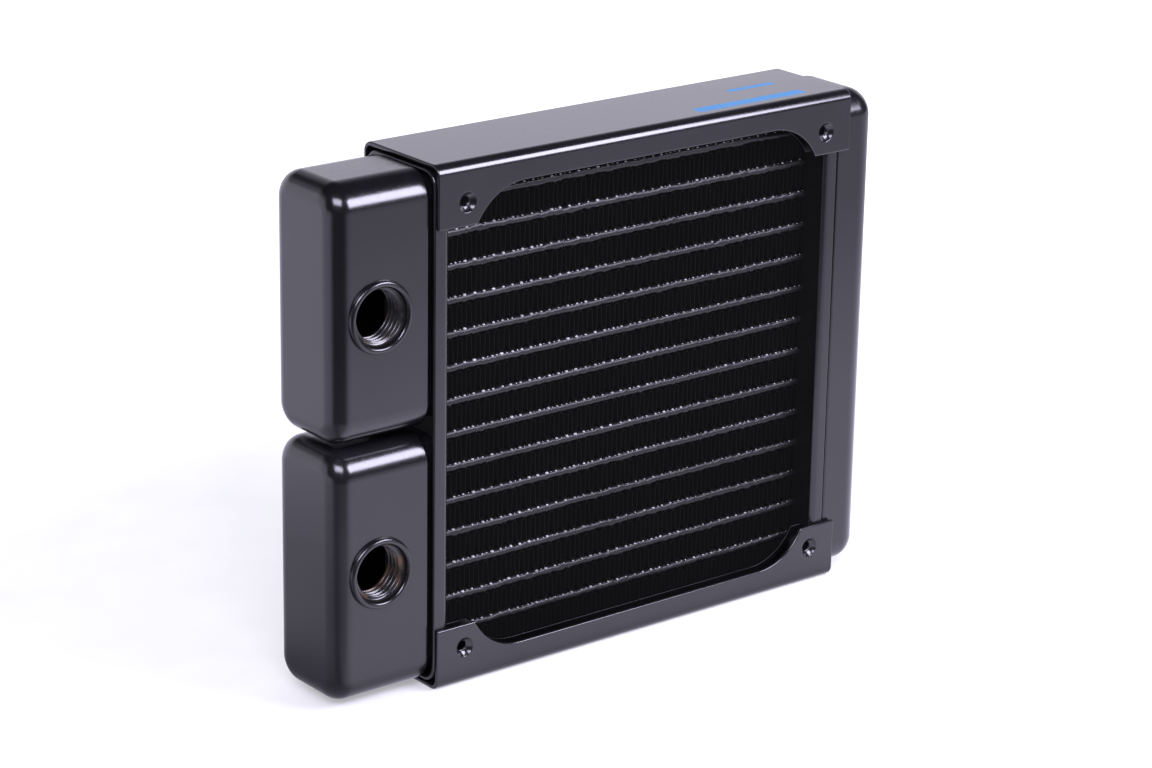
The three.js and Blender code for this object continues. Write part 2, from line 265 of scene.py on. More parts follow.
def inset(loop, amount):
    """A closed loop moved to the left of its direction by the amount."""
    moved = []
    for i, point in enumerate(loop):
        before = Vector(point) - Vector(loop[i - 1])
        after = Vector(loop[(i + 1) % len(loop)]) - Vector(point)
        a, b = (Vector((-v.y, v.x)).normalized() for v in (before, after))
        moved.append(tuple(Vector(point) + (a + b) * amount / (1 + a.dot(b))))
    return moved


def quarter(radius, steps):
    """(inset, depth) pairs round an edge, from the flat face (depth 0) to the side (inset 0)."""
    turns = [math.pi / 2 * i / steps for i in range(steps + 1)]
    return [(radius * (1 - math.sin(t)), radius * (1 - math.cos(t))) for t in turns]


# ------------------------------------------------------------------ covers and core guards


class Channel:
    """A folded sheet that is open downwards, with a fan window in both flanges.

    Its flat pattern is drawn in (x, q): q < 0 is the front flange in millimetres below the fold,
    0 to 1 the front fold, 1 to 2 the web, 2 to 3 the back fold, and q > 3 the back flange.
    """

    FOLD_STEPS = 8
    ARC_STEPS = 28

    def __init__(self, low, high, sheet, bend, edge_round):
        self.low, self.high = low, high
        self.sheet, self.bend, self.edge_round = sheet, bend, edge_round
        self.fold_z = high.z - bend

    def place(self, x, q, depth):
        """The pattern's point (x, q), depth below the outer surface."""
        half = self.high.y
        across = half - self.bend
        radius = self.bend - depth
        turn = (q if q <= 1 else q - 2) * math.pi / 2
        if q <= 0:
            return (x, -half + depth, self.fold_z + q)
        if q <= 1:
            return (x, -across - radius * math.cos(turn), self.fold_z + radius * math.sin(turn))
        if q < 2:
            return (x, across * (2 * q - 3), self.high.z - depth)
        if q <= 3:
            return (x, across + radius * math.sin(turn), self.fold_z + radius * math.cos(turn))
        return (x, half - depth, self.fold_z - (q - 3))

    def flange_edge(self):
        """The free edge of a flange from right to left as (x, z): ear, window, ear."""
        edge, left, right = self.low.z, self.low.x + EAR_CORNER, self.high.x - EAR_CORNER
        arc_z = COVER_HIGH.z - WINDOW_EDGE - WINDOW_RADIUS
        turn = math.degrees(math.asin((edge - arc_z) / WINDOW_RADIUS))
        points = arc((right, edge + EAR_CORNER), EAR_CORNER, 0, -90, 3)
        points += arc((WINDOW_ARC_X, arc_z), WINDOW_RADIUS, turn, 90, self.ARC_STEPS)
        points += arc((-WINDOW_ARC_X, arc_z), WINDOW_RADIUS, 90, 180 - turn, self.ARC_STEPS)
        return points + arc((left, edge + EAR_CORNER), EAR_CORNER, -90, -180, 3)

    def outline(self):
        """The flat pattern's edge, counter-clockwise, as the front flange, a side, back and side."""
        edge = self.flange_edge()
        front = [(x, z - self.fold_z) for x, z in reversed(edge)]
        back = [(x, 3 + self.fold_z - z) for x, z in edge]
        fold = [i / self.FOLD_STEPS for i in range(self.FOLD_STEPS + 1)]
        rising = fold + [2 + q for q in fold]
        right = [(self.high.x, q) for q in rising]
        left = [(self.low.x, q) for q in reversed(rising)]
        return front, right, back, left

    def skin(self, piece, ring, holes, marks=()):
        """One face of the sheet: both flanges, the folds and the web."""
        front, right, back, left = self.outline()
        a, b, c = len(front), len(front) + len(right), len(front) + len(right) + len(back)
        piece.cap([[ring[-1]] + ring[: a + 1]] + holes[:2])
        piece.cap([ring[b - 1 : c + 1]] + holes[2:])
        side, other = ring[a:b], ring[c:][::-1]
        for i in range(len(side) - 1):
            corners = [other[i], side[i], side[i + 1], other[i + 1]]
            if i == self.FOLD_STEPS:
                piece.cap([corners, *marks])
            else:
                piece.face(corners)

    def build(self, holes=((), ()), marks=(), piece=None):
        """The sheet with its rounded edges. holes are rings in its outer and in its inner face."""
        piece = piece or Piece()
        pattern = [point for side in self.outline() for point in side]
        rounding = quarter(self.edge_round, 4)
        profile = rounding + [(side, self.sheet - depth) for side, depth in reversed(rounding)]
        rings = [
            piece.ring([self.place(x, q, depth) for x, q in inset(pattern, side)])
            for side, depth in profile
        ]
        piece.chain(rings)
        self.skin(piece, rings[0], list(holes[0]), marks)
        self.skin(piece, rings[-1], list(holes[1]))
        return piece


class Bore:
    """Rings round an axis along Y. A wave in the radius that turns as it goes deeper is a thread."""

    def __init__(self, piece, x, z, face_y, inward, around, pitch):
        self.piece, self.x, self.z = piece, x, z
        self.face_y, self.inward = face_y, inward
        self.around, self.pitch = around, pitch

    def ring(self, depth, radius, wave=0.0):
        """A ring at a depth below the face. wave is the height of the thread there."""
        points = []
        for i in range(self.around):
            turn = 2 * math.pi * i / self.around
            phase = depth / self.pitch - turn / (2 * math.pi)
            r = radius + wave * (0.5 - 0.5 * math.cos(2 * math.pi * phase))
            x, z = self.x + r * math.cos(turn), self.z + r * math.sin(turn)
            points.append((x, self.face_y + self.inward * depth, z))
        return self.piece.ring(points)


def screw_hole(piece, x_side, y_side):
    """A rolled-in M3 hole. Gives its rings in the flange's outer and inner faces."""
    around, lip_steps, thread_steps = 40, 6, 24
    thread_fade = 5    # the thread rises and falls over a fifth of its length
    hole = Bore(
        piece,
        x_side * FAN_PITCH / 2,
        FAN_PITCH / 2,
        y_side * HALF_DEPTH,
        -y_side,
        around,
        SCREW_PITCH,
    )
    lip = arc((MOUTH_RADIUS, MOUTH_ROUND), MOUTH_ROUND, -90, -150, lip_steps)
    mouth = [hole.ring(depth, radius) for radius, depth in lip]
    mouth.append(hole.ring(MOUTH_DEPTH, SCREW_MINOR + MOUTH_LEAD))
    thread = [mouth[-1]]
    for i in range(1, thread_steps + 1):
        share = i / thread_steps
        wave = (SCREW_MAJOR - SCREW_MINOR) * min(1, thread_fade * share, thread_fade * (1 - share))
        thread.append(hole.ring(MOUTH_DEPTH + (COLLAR_DEPTH - MOUTH_DEPTH) * share, SCREW_MINOR, wave))
    collar = [
        thread[-1],
        hole.ring(COLLAR_DEPTH, COLLAR_RADIUS - COLLAR_ROUND),
        hole.ring(COLLAR_DEPTH - COLLAR_ROUND, COLLAR_RADIUS),
        hole.ring(COVER_SHEET, COLLAR_RADIUS),
    ]
    piece.chain(mouth)
    piece.chain(thread, METAL)
    piece.chain(collar)
    return mouth[0], collar[-1]


def printed_bars(piece):
    """Two plain bars on the web near its right end, in place of any lettering."""
    loops = []
    for low, high, radius in PRINTED_BARS:
        outline = rounded_rectangle(low, high, radius, 6)
        loops.append(piece.ring([(x, y, COVER_HIGH.z) for x, y in outline]))
        piece.cap([loops[-1]], PRINT)
    return loops


def turned_over(piece):
    """The same piece turned half round about X, for the lower half of the casing."""
    piece.points = [(x, -y, -z) for x, y, z in piece.points]
    return piece


def cover(is_lower):
    """The upper or lower cover, with its screw holes."""
    piece = Piece()
    corners = [(x_side, y_side) for y_side in (-1, 1) for x_side in (-1, 1)]
    holes = [screw_hole(piece, x_side, y_side) for x_side, y_side in corners]
    marks = () if is_lower else printed_bars(piece)
    sheet = Channel(COVER_LOW, COVER_HIGH, COVER_SHEET, COVER_BEND, EDGE_ROUND)
    sheet.build(tuple(zip(*holes)), marks, piece)
    return turned_over(piece) if is_lower else piece


def core_guard(is_lower):
    """The channel inside a cover, behind its ears."""
    low, high = size_mm("top_core_guard")
    piece = Channel(low, high, GUARD_SHEET, GUARD_BEND, GUARD_EDGE_ROUND).build()
    return turned_over(piece) if is_lower else piece


# ------------------------------------------------------------------ trays and tanks


def prism_rings(piece, low, high, corner, profile, steps=12):
    """Rings round a rounded rectangle in (y, z), one for each (inset, x) of the profile."""
    rings = []
    for side, x in profile:
        outline = rounded_rectangle(
            (low.y + side, low.z + side), (high.y - side, high.z - side), corner - side, steps
        )
        rings.append(piece.ring([(x, y, z) for y, z in outline]))
    return rings


def header_plate(node):
    """A tray: a slotted plate towards the core, and a rim that points at the tank."""
    low, high = size_mm(node)
    away = -1 if low.x + high.x < 0 else 1
    plate_x, rim_x = (high.x, low.x) if away < 0 else (low.x, high.x)
    floor_x = plate_x + away * HEADER_SHEET
    rounding = quarter(RIM_ROUND, 5)
    outside = [(side, rim_x - away * depth) for side, depth in rounding]
    outside += [(side, plate_x + away * depth) for side, depth in reversed(quarter(HEADER_BEND, 8))]
    inside = [(HEADER_SHEET - side, rim_x - away * depth) for side, depth in rounding]
    inside += [
        (HEADER_SHEET + side, floor_x + away * depth)
        for side, depth in reversed(quarter(HEADER_INNER_BEND, 4))
    ]
    piece = Piece()
    outer = prism_rings(piece, low, high, HEADER_CORNER, outside)
    inner = prism_rings(piece, low, high, HEADER_CORNER, inside)
    piece.chain(outer)
    piece.chain(inner)
    piece.bridge(outer[0], inner[0])
    core_side, tank_side = [outer[-1]], [inner[-1]]
    for tube in TUBES:
        tube_low, tube_high = size_mm(tube)
        half = (tube_high.z - tube_low.z) / 2 + SLOT_GAP
        slot_low = (tube_low.y - SLOT_GAP, tube_low.z - SLOT_GAP)
        slot_high = (tube_high.y + SLOT_GAP, tube_high.z + SLOT_GAP)
        outline = rounded_rectangle(slot_low, slot_high, FULL_ROUND * half, 5)
        core_side.append(piece.ring([(plate_x, y, z) for y, z in outline]))
        tank_side.append(piece.ring([(floor_x, y, z) for y, z in outline]))
        piece.bridge(core_side[-1], tank_side[-1])
    # Painted shade: both faces of the slotted plate take the shaded black.
    piece.cap(core_side, SHADED)
    piece.cap(tank_side, SHADED)
    return piece


def tank(node, form, port=None):
    """A drawn tank with an open neck towards the core.

    form holds the sizes of its neck, shoulder and end, and port is (x, z, radius) of a hole in its front.
    """
    shoulder, end = form["shoulder"], form["end"]
    cavity = form["inset"] + TANK_WALL
    low, high = size_mm(node)
    away = -1 if low.x + high.x < 0 else 1
    neck_x, end_x = (high.x, low.x) if away < 0 else (low.x, high.x)
    shoulder_x = neck_x + away * form["neck"]
    corner_steps, hole_steps = 14, 64
    outside = [(form["inset"], neck_x), (form["inset"], shoulder_x)]
    outside += [(s, shoulder_x + away * d) for s, d in quarter(shoulder, 12) if s < form["inset"]]
    body = len(outside) - 1
    outside += [(s, end_x - away * d) for s, d in reversed(quarter(end, 16))]
    inside = [(cavity, neck_x)]
    cavity_end = end_x - away * cavity
    inside += [(cavity + s, cavity_end - away * d) for s, d in reversed(quarter(end - cavity, 6))]
    piece = Piece()
    outer = prism_rings(piece, low, high, TANK_CORNER, outside, corner_steps)
    inner = prism_rings(piece, low, high, TANK_CORNER, inside, corner_steps)
    # The quad of each ring that lies along the front face comes after three of the four corners.
    front = 3 * (corner_steps + 1) - 1 if port else None
    piece.chain(outer[: body + 1])
    piece.bridge(outer[body], outer[body + 1], skip=front)
    piece.chain(outer[body + 1 :])
    piece.bridge(inner[0], inner[1], skip=front)
    piece.chain(inner[1:])
    piece.bridge(outer[0], inner[0])
    piece.cap([outer[-1]])
    piece.cap([inner[-1]])
    if port:
        hole = arc(port[:2], port[2], 0, 360, hole_steps)[:-1]
        outer_hole = piece.ring([(x, low.y, z) for x, z in hole])
        inner_hole = piece.ring([(x, low.y + cavity, z) for x, z in hole])
        piece.bridge(outer_hole, inner_hole)
        for (a, b), cut in ((outer[body : body + 2], outer_hole), (inner[:2], inner_hole)):
            piece.cap([[a[front], a[front + 1], b[front + 1], b[front]], cut])
    return piece


def port_bushing(node):
    """A threaded insert: a rounded lip on the tank's face, a helical thread, and a sleeve."""
    low, high = size_mm(node)
    face_y = size_mm("upper_port_tank")[0].y
    sleeve_end = high.y - face_y
    around, lip_steps, turn_steps = 80, 18, 18
    start_fade, end_fade = 10, 12    # the thread fades in and out over these parts of its length
    piece = Piece()
    port = Bore(piece, (low.x + high.x) / 2, (low.z + high.z) / 2, face_y, 1, around, THREAD_PITCH)

    collar = [(SLEEVE_RADIUS, depth) for depth in (sleeve_end, SLEEVE_LOOP, FOOT_DEPTH)]
    collar.append((LIP_FOOT, FOOT_DEPTH))
    lip = arc((LIP_RADIUS, LIP_HEIGHT - LIP_ROUND), LIP_ROUND, 0, 180, lip_steps)
    collar += [(radius, -height) for radius, height in lip]
    painted = [port.ring(depth, radius) for radius, depth in collar]
    shaded = [painted[-1]] + [port.ring(depth, radius) for radius, depth in RECESS_STEPS]

    thread_start = RECESS_STEPS[-1][1]
    thread_length = THREAD_END - thread_start
    tooth = THREAD_MAJOR - THREAD_MINOR
    steps = round(turn_steps * thread_length / THREAD_PITCH)
    thread = [shaded[-1]]
    for i in range(1, steps + 1):
        share = i / steps
        wave = tooth * min(1, start_fade * share, end_fade * (1 - share))
        radius = THREAD_MINOR + tooth * max(0, 1 - start_fade * share)
        thread.append(port.ring(thread_start + thread_length * share, radius, wave))
    bore = [
        thread[-1],
        port.ring(THREAD_END + RELIEF_RUN, RELIEF_RADIUS),
        port.ring(sleeve_end - SLEEVE_CHAMFER, RELIEF_RADIUS),
        port.ring(sleeve_end, RELIEF_RADIUS + SLEEVE_CHAMFER),
    ]
    piece.chain(painted)
    # Painted shade: the step down to the thread takes the shaded black.
    piece.chain(shaded, SHADED_RECESS)
    piece.chain(thread, METAL)
    piece.chain(bore, METAL)
    piece.bridge(bore[-1], painted[0])
    return piece


# ------------------------------------------------------------------ core


def fold_places(row):
    """The x of each fold of a fin strip, alternately a lower and an upper one."""
    low, high = size_mm(row)
    count = 2 * round((high.x - low.x) / FOLD_PITCH)
    step = (high.x - low.x) / count
    draw = random.Random(row)
    places = []
    for i in range(count):
        drift = FOLD_DRIFT * noise(Vector((i * DRIFT_RATE, 0.0, low.z)))
        places.append(low.x + (i + 0.5) * step + drift + draw.uniform(-FOLD_JITTER, FOLD_JITTER))
    return places


def fin_strip(row):
    """A corrugated strip: nearly upright legs joined by round folds that touch the tubes."""
    low, high = size_mm(row)
    draw = random.Random(row + "_lean")
    fold_steps = 7
    places = fold_places(row)
    line = [(low.x, high.z - END_DROP)]
    for i, x in enumerate(places):
        is_upper = i % 2 == 1
        before = x - (places[i - 1] if i else low.x - END_FOLD)
        after = (places[i + 1] if i + 1 < len(places) else high.x + END_FOLD) - x
        radius = min(before, after) / 2 - LEG_GAP
        edge = high.z if is_upper else low.z
        side = -1 if is_upper else 1
        lift = draw.uniform(0.0, FOLD_LIFT)
        for j in range(fold_steps + 1):
            turn = math.pi * j / fold_steps
            line.append((
                x - radius * math.cos(turn),
                edge + side * (FIN_SHEET / 2 + lift + radius * (1 - math.sin(turn))),
            ))
    line.append((high.x, high.z - END_DROP))
    piece = Piece()
    depths = (low.y, low.y + FIN_FRONT, 0.0, high.y - FIN_FRONT, high.y)
    walls = []
    for y in depths:
        sway = [LEG_SWAY * noise(Vector((x * SWAY_RATE_X, y * SWAY_RATE_Y, z))) for x, z in line]
        left, right = [], []
        for i, (x, z) in enumerate(line):
            ahead = Vector(line[min(i + 1, len(line) - 1)]) - Vector(line[max(i - 1, 0)])
            normal = Vector((-ahead.y, ahead.x)).normalized() * FIN_SHEET / 2
            x += sway[i]
            left.append((x + normal.x, y, z + normal.y))
            right.append((x - normal.x, y, z - normal.y))
        walls.append((piece.ring(left), piece.ring(right)))
    for (left, right), (next_left, next_right) in zip(walls, walls[1:]):
        piece.bridge(left, next_left, closed=False)
        piece.bridge(right, next_right, closed=False)
        for end in (0, -1):
            piece.face((left[end], right[end], next_right[end], next_left[end]))
    for left, right in (walls[0], walls[-1]):
        piece.bridge(left, right, closed=False)
    return piece


def bead(piece, centre, size):
    """A drop of solder and paint: a small ball, with its half lengths along X, Y and Z."""
    around, up = 8, 5
    rings = []
    for i in range(1, up):
        polar = math.pi * i / up
        z = centre[2] + size[2] * math.cos(polar)
        points = []
        for j in range(around):
            turn = 2 * math.pi * j / around
            x = centre[0] + size[0] * math.sin(polar) * math.cos(turn)
            y = centre[1] + size[1] * math.sin(polar) * math.sin(turn)
            points.append((x, y, z))
        rings.append(piece.ring(points))
    piece.chain(rings, DROP)
    for ring, side in ((rings[0], 1), (rings[-1], -1)):
        tip = piece.ring([(centre[0], centre[1], centre[2] + side * size[2])])[0]
        for j in range(around):
            piece.face((ring[j], ring[(j + 1) % around], tip), DROP)


def unevenness(x, level, waves):
    """A smooth random height at x, the sum of waves of (height, waves per millimetre, seed)."""
    return sum(height * noise(Vector((x * rate, seed, level))) for height, rate, seed in waves)


def tube(node, row_above):
    """A flat tube, slightly wavy, with drops of solder and paint along its noses."""
    low, high = size_mm(node)
    middle, half = (low.z + high.z) / 2, (high.z - low.z) / 2
    draw = random.Random(node)
    stations = 192
    nose_steps = 6

    def section(x, shrink):
        wave = unevenness(x, middle, TUBE_WAVES)
        swell = unevenness(x, middle, TUBE_SWELLS)
        outline = rounded_rectangle(
            (low.y + shrink, middle - half + shrink - swell),
            (high.y - shrink, middle + half - shrink + swell),
            FULL_ROUND * (half - shrink - abs(swell)),
            nose_steps,
        )
        return piece.ring([(x, y, z + wave) for y, z in outline])

    piece = Piece()
    places = [low.x + (high.x - low.x) * i / stations for i in range(stations + 1)]
    outer = [section(x, 0.0) for x in places]
    inner = [section(x, TUBE_WALL) for x in places]
    piece.chain(outer)
    piece.chain(inner)
    for end in (0, -1):
        piece.bridge(outer[end], inner[end])
    for nose_y, inward in ((low.y, 1), (high.y, -1)):
        for i, x in enumerate(fold_places(row_above)):
            is_lower_fold = i % 2 == 0
            if not is_lower_fold and draw.random() >= STRAY_CHANCE:
                continue
            size = BEAD_RADIUS * draw.uniform(*(FOLD_BEADS if is_lower_fold else STRAY_BEADS))
            size *= BEADS_LEFT + (BEADS_RIGHT - BEADS_LEFT) * (x - low.x) / (high.x - low.x)
            bead_x = x + draw.uniform(-BEAD_DRIFT, BEAD_DRIFT)
            bead_y = nose_y + inward * draw.uniform(*BEAD_DEPTHS)
            length = size * draw.uniform(*BEAD_LENGTHS)
            bead(piece, (bead_x, bead_y, high.z - BEAD_DROP), (length, size, size * BEAD_THICKNESS))
    return piece


# ------------------------------------------------------------------ materials

PAINT_IOR = 1.5
PAINTED_FLARE_COLOUR = (0.95, 0.95, 1.1, 1.0)    # painted glow: a lens never shows deep shade quite black, so parts in deep shade glow faintly
PORT_PAINTED_FLARE = 0.004

# Each pair is the dark and the light end of a surface's small changes of colour.
BLACK = ((0.0024, 0.0024, 0.003), (0.0042, 0.0041, 0.005))
# Painted shade: a darker copy of BLACK for the parts that lie in shade: the fins, the core guards, the
# insides of the header plates and the step inside each port.
PAINTED_SHADE_BLACK = ((0.0008, 0.0008, 0.0009), (0.0018, 0.0018, 0.002))
# A tube's dark end is the painted shade black, and its light end the black paint.
TUBE_BLACK = (PAINTED_SHADE_BLACK[0], BLACK[1])
# The drops are partly the tin of the solder and partly a painted glint: they are light grey so that they
# show as bright dots.
TIN_AND_GLINT = ((0.04, 0.04, 0.043), (0.3, 0.3, 0.32))
SCREW_STEEL = ((0.03, 0.03, 0.033), (0.1, 0.1, 0.105))
PRINT_BLUE = ((0.012, 0.095, 0.22), (0.016, 0.115, 0.26))
FLOOR_PAPER = ((0.32, 0.32, 0.325), (0.34, 0.34, 0.345))
PORT_PAINT = (0.003, 0.003, 0.0032)
PORT_NICKEL = (0.04, 0.032, 0.028)
PORT_BRASS = (0.085, 0.046, 0.027)


def nodes_of(name):
    """A new material, with its node tree and shader."""
    material = bpy.data.materials.new(name)
    material.use_nodes = True
    tree = material.node_tree
    shader = tree.nodes["Principled BSDF"]
    return material, tree, shader


def texture_place(tree):
    """Places textures by the object's own coordinates, in metres."""
    return tree.nodes.new("ShaderNodeTexCoord").outputs["Object"]


def noise_value(tree, place, scale, detail=2.0, roughness=0.5):
    """A random number that changes smoothly with the place."""
    texture = tree.nodes.new("ShaderNodeTexNoise")
    texture.inputs["Scale"].default_value = scale
    texture.inputs["Detail"].default_value = detail
    texture.inputs["Roughness"].default_value = roughness
    tree.links.new(place, texture.inputs["Vector"])
    return texture.outputs["Fac"]


def between(tree, factor, low, high, start=0.3, end=0.7):
    """A number that goes from low to high as the factor goes from start to end."""
    spread = tree.nodes.new("ShaderNodeMapRange")
    for name, value in (("From Min", start), ("From Max", end), ("To Min", low), ("To Max", high)):
        spread.inputs[name].default_value = value
    tree.links.new(factor, spread.inputs["Value"])
    return spread.outputs["Result"]


def mix_colour(tree, factor, a, b):
    """A colour that goes from a to b with the factor."""
    mixed = tree.nodes.new("ShaderNodeMix")
    mixed.data_type = "RGBA"
    tree.links.new(factor, mixed.inputs["Factor"])
    for socket, colour in (("A", a), ("B", b)):
        inlet = next(s for s in mixed.inputs if s.name == socket and s.type == "RGBA")
        inlet.default_value = (*colour, 1.0)
    return next(s for s in mixed.outputs if s.type == "RGBA")


def bump(tree, height, distance, strength, shader, below=None):
    """Bumps on the shader's surface, on top of the ones below."""
    node = tree.nodes.new("ShaderNodeBump")
    node.inputs["Distance"].default_value = distance
    node.inputs["Strength"].default_value = strength
    tree.links.new(height, node.inputs["Height"])
    if below is not None:
        tree.links.new(below, node.inputs["Normal"])
    tree.links.new(node.outputs["Normal"], shader.inputs["Normal"])
    return node.outputs["Normal"]


def satin_paint(name, colours, roughness, peel=1.0, gloss=0.5, lift=0.0):
    """Satin powder coat: fine cloudiness and an orange peel. lift is a faint painted glow: flare in deep
    shade.
    """
    material, tree, shader = nodes_of(name)
    place = texture_place(tree)
    cloud = between(tree, noise_value(tree, place, 45.0, 3.0), 0.0, 1.0)
    tree.links.new(mix_colour(tree, cloud, *colours), shader.inputs["Base Color"])
    grain = noise_value(tree, place, 900.0, 2.0)
    tree.links.new(between(tree, grain, roughness - 0.02, roughness + 0.025), shader.inputs["Roughness"])
    peel_height, grain_height = noise_value(tree, place, 420.0, 1.0), noise_value(tree, place, 2600.0, 2.0)
    soft = bump(tree, peel_height, 0.02 * MM, 0.015 * peel, shader)
    bump(tree, grain_height, 0.004 * MM, 0.02 * peel, shader, soft)
    shader.inputs["IOR"].default_value = PAINT_IOR
    shader.inputs["Specular IOR Level"].default_value = gloss
    # A faint painted glow stands in for a lens's flare in deep shade.
    shader.inputs["Emission Color"].default_value = PAINTED_FLARE_COLOUR
    shader.inputs["Emission Strength"].default_value = lift
    return material


def port_metal(name, bare, metallic):
    """A port's thread: thin black paint, worn through to the bare metal in patches."""
    material, tree, shader = nodes_of(name)
    place = texture_place(tree)
    patches = between(tree, noise_value(tree, place, 260.0, 4.0), 0.0, 1.0, 0.5, 0.75)
    tree.links.new(mix_colour(tree, patches, PORT_PAINT, bare), shader.inputs["Base Color"])
    tree.links.new(between(tree, patches, 0.0, metallic, 0.0, 1.0), shader.inputs["Metallic"])
    tree.links.new(between(tree, patches, 0.26, 0.2, 0.0, 1.0), shader.inputs["Roughness"])
    bump(tree, noise_value(tree, place, 1800.0, 2.0), 0.02 * MM, 0.2, shader)
    # A faint painted glow stands in for a lens's flare in the port's deep shade.
    shader.inputs["Emission Color"].default_value = PAINTED_FLARE_COLOUR
    shader.inputs["Emission Strength"].default_value = PORT_PAINTED_FLARE
    return material


def screw_metal(name):
    """The bare steel of a cut thread, finely scratched."""
    material, tree, shader = nodes_of(name)
    place = texture_place(tree)
    scratch = noise_value(tree, place, 3000.0, 3.0)
    worn = between(tree, scratch, 0.0, 1.0)
    tree.links.new(mix_colour(tree, worn, *SCREW_STEEL), shader.inputs["Base Color"])
    tree.links.new(between(tree, scratch, 0.3, 0.42), shader.inputs["Roughness"])
    bump(tree, scratch, 0.01 * MM, 0.2, shader)
    shader.inputs["Metallic"].default_value = 1.0
    return material


def print_ink(name):
    """Matt blue ink with a fine speckle."""
    material, tree, shader = nodes_of(name)
    place = texture_place(tree)
    dots = between(tree, noise_value(tree, place, 2200.0, 2.0), 0.0, 1.0)
    tree.links.new(mix_colour(tree, dots, *PRINT_BLUE), shader.inputs["Base Color"])
    tree.links.new(between(tree, dots, 0.36, 0.46), shader.inputs["Roughness"])
    bump(tree, dots, 0.01 * MM, 0.15, shader)
    shader.inputs["Specular IOR Level"].default_value = 0.12
    return material


# ------------------------------------------------------------------ the object

black = satin_paint("cover_black", BLACK, 0.19)
tank_black = satin_paint("tank_black", BLACK, 0.21)
header_black = satin_paint("header_black", BLACK, 0.24)
# Painted shade: the darker black for the faces of the header plates and ports that lie in shade.
shaded_black = satin_paint("shaded_black", PAINTED_SHADE_BLACK, 0.45, peel=1.5, gloss=0.15, lift=0.004)
# Painted shade: the core guards lie in shade behind the ears.
guard_shade_black = satin_paint("guard_shade_black", PAINTED_SHADE_BLACK, 0.36, gloss=0.16)
# Partly painted shade: the tubes' dark end comes from the painted shade black.
tube_black = satin_paint("tube_black", TUBE_BLACK, 0.42, peel=2.0, gloss=0.27, lift=0.003)
# Painted glint: the drops are light and glossy, partly tin and partly painted highlight.
bead_tin_glint = satin_paint("bead_tin_glint", TIN_AND_GLINT, 0.2, gloss=0.9)
# Painted shade: the fins lie in shade deep in the core.
fin_shade_black = satin_paint("fin_shade_black", PAINTED_SHADE_BLACK, 0.55, peel=2.0, gloss=0.03, lift=0.005)
thread_steel = screw_metal("thread_steel")
threads = {
    "upper": port_metal("thread_nickel", PORT_NICKEL, 0.3),
    "lower": port_metal("thread_brass", PORT_BRASS, 0.45),
}
ink = print_ink("print_blue")

for level in ("top", "bottom"):
    is_lower = level == "bottom"
    cover(is_lower).finish(
        f"{level}_cover_shell", f"{level}_cover", "cover_paint", [black, thread_steel, ink]
    )
    core_guard(is_lower).finish(
        f"{level}_guard_channel", f"{level}_core_guard", "guard_paint", [guard_shade_black]
    )

for side in ("left", "right"):
    node = f"{side}_header_plate"
    header_plate(node).finish(f"{side}_header_tray", node, "header_paint", [header_black, shaded_black])

for level in ("upper", "lower"):
    node = f"{level}_port_bushing"
    # The third finish is the painted shade black of the step inside the port.
    finishes = [tank_black, threads[level], shaded_black]
    port_bushing(node).finish(f"{level}_port_insert", node, "port_brass", finishes)
    low, high = size_mm(node)
    middle = (low + high) / 2
    hole = (middle.x, middle.z, SLEEVE_RADIUS + SLEEVE_GAP)
    node = f"{level}_port_tank"
    tank(node, PORT_TANK, hole).finish(f"{node}_shell", node, "tank_paint", [tank_black])
tank("return_tank", RETURN_TANK).finish("return_tank_shell", "return_tank", "tank_paint", [tank_black])

for number, node in enumerate(TUBES):
    tube(node, FINS[number + 1]).finish(f"{node}_flat", node, "tube_paint", [tube_black, bead_tin_glint])
for node in FINS:
    fin_strip(node).finish(f"{node}_strip", node, "fin_paint", [fin_shade_black])

# ------------------------------------------------------------------ studio

TINT = (0.98, 0.945, 1.2)    # the lights are a little cool
BACK_TINT = (0.98, 0.95, 1.12)
FLOOR_TINT = (0.965, 0.96, 1.0, 1.0)
TANK_TOP = Vector((CAD_BOX[0].x, CAD_BOX[0].y, CAD_BOX[1].z))    # both soft boxes face it

SURROUNDING_LIGHT = 1.4      # of the white world, which reflections don't show
FLOOR_HALF = 4.0             # the floor's half side, in metres
GLOW_NEAR, GLOW_FAR = 0.36, 1.1     # the floor's glow, which grows between these distances
GLOW_START, GLOW_END = 0.14, 0.6
BACKDROP_DISTANCE = 1.5
BACKDROP_FOOT = -0.02
LEFT_SPAN, BACK_SPAN = (180, 254), (100, 180)    # azimuths of the two stacks of backdrops

# Brightness of the reflected floor, close to the object and far from it.
# The reflected floor carries painted light: a pool of the right box's light near the object's right side,
# and painted shadow near its left side.
RIGHT_NEAR, RIGHT_FAR = 1.85, 1.0
LEFT_NEAR, LEFT_FAR = 0.75, 1.45
CONTACT_LIGHT = 0.3          # painted contact shadow: its share where the object touches it
DARK_NEAR, DARK_FAR = 0.55, 0.94    # how much of it the dark wedge in front of the left end takes away

CAMERA_AZIMUTH, CAMERA_ELEVATION, CAMERA_ROLL = -38.6, 18.87, 1.0
CAMERA_DISTANCE = 0.7888
CAMERA_TARGET = CENTRE + Vector((-0.02152, -0.0142, 0.004573))
FOCAL_LENGTH = 108.43
SENSOR_WIDTH = 36.0
CLIP_START = 0.05


def aimed(thing, place, target):
    """Puts a light or the camera at the place, facing the target."""
    thing.location = place
    thing.rotation_mode = "QUATERNION"
    thing.rotation_quaternion = (Vector(target) - Vector(place)).to_track_quat("-Z", "Y")


def direction(azimuth, elevation):
    """Unit vector from the object towards an azimuth (0 is in front, 90 on the right) and height."""
    a, e = math.radians(azimuth), math.radians(elevation)
    return Vector((math.sin(a) * math.cos(e), -math.cos(a) * math.cos(e), math.sin(e)))


